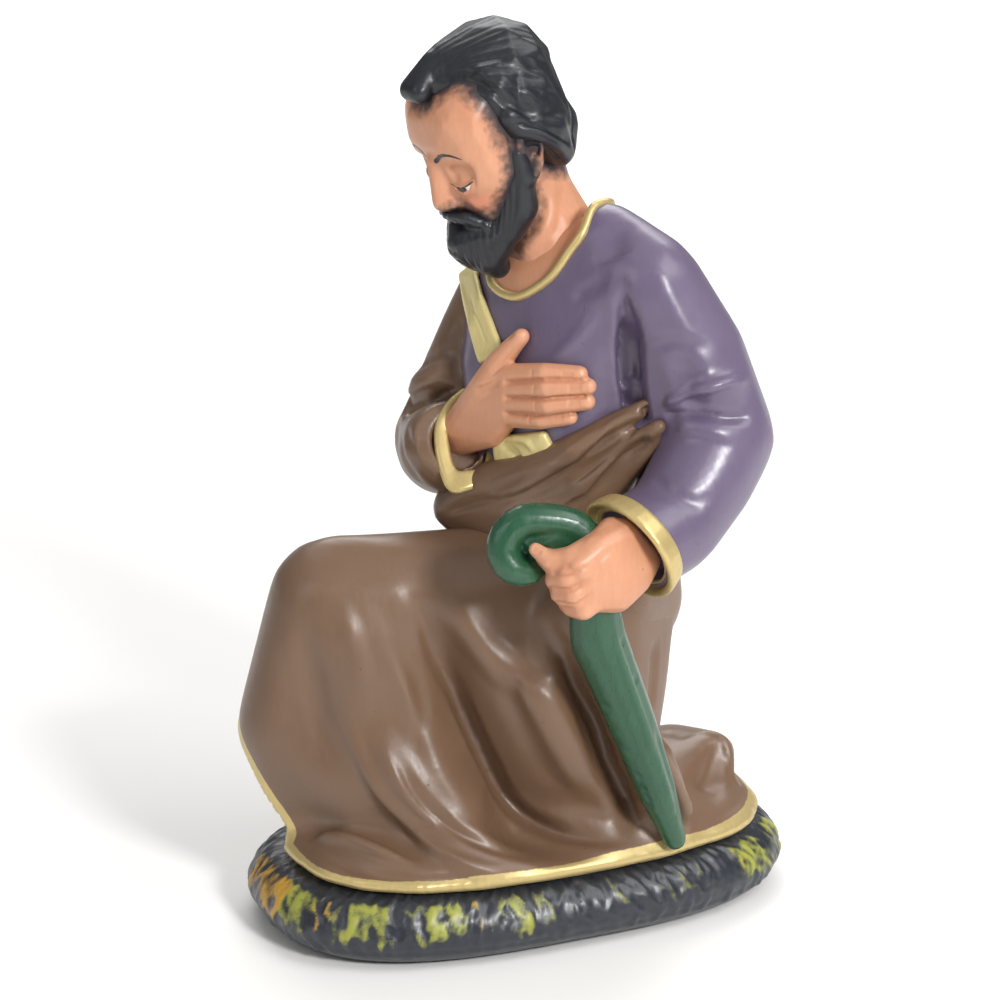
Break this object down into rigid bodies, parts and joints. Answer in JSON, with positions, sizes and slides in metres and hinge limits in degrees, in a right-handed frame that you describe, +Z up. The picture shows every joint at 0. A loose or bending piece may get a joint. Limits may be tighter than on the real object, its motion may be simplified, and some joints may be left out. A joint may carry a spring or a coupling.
{
  "type": "kneeling saint statue",
  "caption": "Painted plaster statue of a bearded man in a draped robe, kneeling on a low oval pad, with a hand on his chest and a crooked staff in the other",
  "frame": {"origin": "middle of the pad's flat underside", "axes": "+Z up, -Y the way the raised knee and the face point, +X to the figure's left, where the staff is"},
  "size_m": [0.1585, 0.2171, 0.3497],
  "materials": {
    "painted_plaster": "hand-brushed satin paint over cast plaster"
  },
  "bodies": {
    "root": {"saint_joseph_statue": "painted_plaster"}
  },
  "joints": []
}
